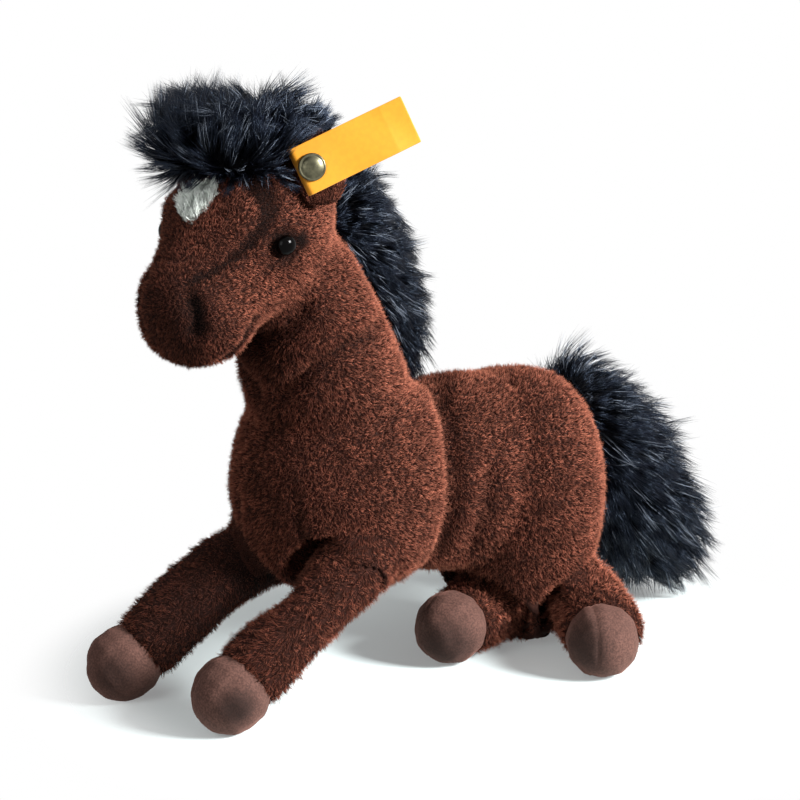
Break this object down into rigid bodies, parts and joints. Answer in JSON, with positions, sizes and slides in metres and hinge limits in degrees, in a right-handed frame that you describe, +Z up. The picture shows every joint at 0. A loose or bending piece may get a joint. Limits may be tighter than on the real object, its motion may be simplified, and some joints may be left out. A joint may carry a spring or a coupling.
{
  "type": "plush horse",
  "caption": "Stuffed plush foal lying down with its forelegs stretched forward, velour hooves, long-pile mane, forelock and tail, and a plain tag riveted to one ear.",
  "frame": {"origin": "middle of the footprint, on the floor that the seat, hooves and tail rest on", "axes": "+Z up, the foal's nose points to -X with its head turned a little to its left, its left flank faces -Y"},
  "size_m": [0.2422, 0.096, 0.1955],
  "materials": {
    "plush": "short dense brown plush, matt with a soft sheen",
    "curly_plush": "longer, slightly curly brown plush",
    "velour": "short-napped taupe brown velour",
    "white_plush": "short white plush",
    "long_pile": "long straight blue-black pile with a silky shine",
    "fibre": "loose white polyester fibre",
    "eye": "glossy black",
    "washer": "plain grey",
    "rivet": "dull pale brass, blank",
    "tag_cloth": "plain woven yellow fabric, no print"
  },
  "bodies": {
    "trunk": {"belly_gusset": "plush", "blaze_patch": "white_plush", "body_panel_left": "plush", "body_panel_right": "plush", "body_stuffing": "fibre", "eye_left": "eye", "eye_right": "eye", "eye_washer_left": "washer", "eye_washer_right": "washer", "forelock": "long_pile", "head_gusset": "plush", "head_panel_left": "plush", "head_panel_right": "plush", "head_stuffing": "fibre", "neck_mane": "long_pile"},
    "front_leg_left": {"front_leg_left": "curly_plush", "front_leg_left_stuffing": "fibre", "front_hoof_left": "velour"},
    "front_leg_right": {"front_leg_right": "curly_plush", "front_leg_right_stuffing": "fibre", "front_hoof_right": "velour"},
    "hind_leg_left": {"hind_leg_left": "curly_plush", "hind_leg_left_stuffing": "fibre", "hind_hoof_left": "velour"},
    "hind_leg_right": {"hind_leg_right": "curly_plush", "hind_leg_right_stuffing": "fibre", "hind_hoof_right": "velour"},
    "ear_left": {"ear_left_back": "plush", "ear_left_lining": "plush", "ear_button": "rivet", "ear_button_washer": "rivet"},
    "ear_right": {"ear_right_back": "plush", "ear_right_lining": "plush"},
    "ear_tag": {"ear_tag": "tag_cloth"},
    "tail": {"tail": "long_pile"}
  },
  "joints": [
    {"name": "front_leg_left_hinge", "type": "hinge", "parent": "trunk", "child": "front_leg_left", "pos_m": [-0.04774, -0.01018, 0.043], "axis": [0.0349, -0.9994, 0], "range_deg": [-15, 15], "stiffness_Nm_per_rad": 0.15},
    {"name": "front_leg_right_hinge", "type": "hinge", "parent": "trunk", "child": "front_leg_right", "pos_m": [-0.06005, 0.02364, 0.043], "axis": [-0.2079, -0.9781, 0], "range_deg": [-15, 15], "stiffness_Nm_per_rad": 0.15},
    {"name": "hind_leg_left_hinge", "type": "hinge", "parent": "trunk", "child": "hind_leg_left", "pos_m": [0.05249, -0.00121, 0.0145], "axis": [0, 0, 1], "range_deg": [-10, 10], "stiffness_Nm_per_rad": 0.15},
    {"name": "hind_leg_right_hinge", "type": "hinge", "parent": "trunk", "child": "hind_leg_right", "pos_m": [0.03709, 0.01859, 0.0145], "axis": [0, 0, 1], "range_deg": [-10, 10], "stiffness_Nm_per_rad": 0.15},
    {"name": "ear_left_hinge", "type": "hinge", "parent": "trunk", "child": "ear_left", "pos_m": [-0.06974, -0.02638, 0.15964], "axis": [0.9063, -0.4226, 0], "range_deg": [-4, 25], "stiffness_Nm_per_rad": 0.01},
    {"name": "ear_right_hinge", "type": "hinge", "parent": "trunk", "child": "ear_right", "pos_m": [-0.08732, 0.0219, 0.15964], "axis": [-0.4226, -0.9063, 0], "range_deg": [-4, 25], "stiffness_Nm_per_rad": 0.01},
    {"name": "ear_tag_hinge", "type": "hinge", "parent": "ear_left", "child": "ear_tag", "pos_m": [-0.07225, -0.02613, 0.17236], "axis": [-0.4185, -0.8975, 0.1392], "range_deg": [-8, 8]},
    {"name": "tail_hinge", "type": "hinge", "parent": "trunk", "child": "tail", "pos_m": [0.04699, 0.01331, 0.09396], "axis": [0, -1, 0], "range_deg": [0, 40]}
  ]
}
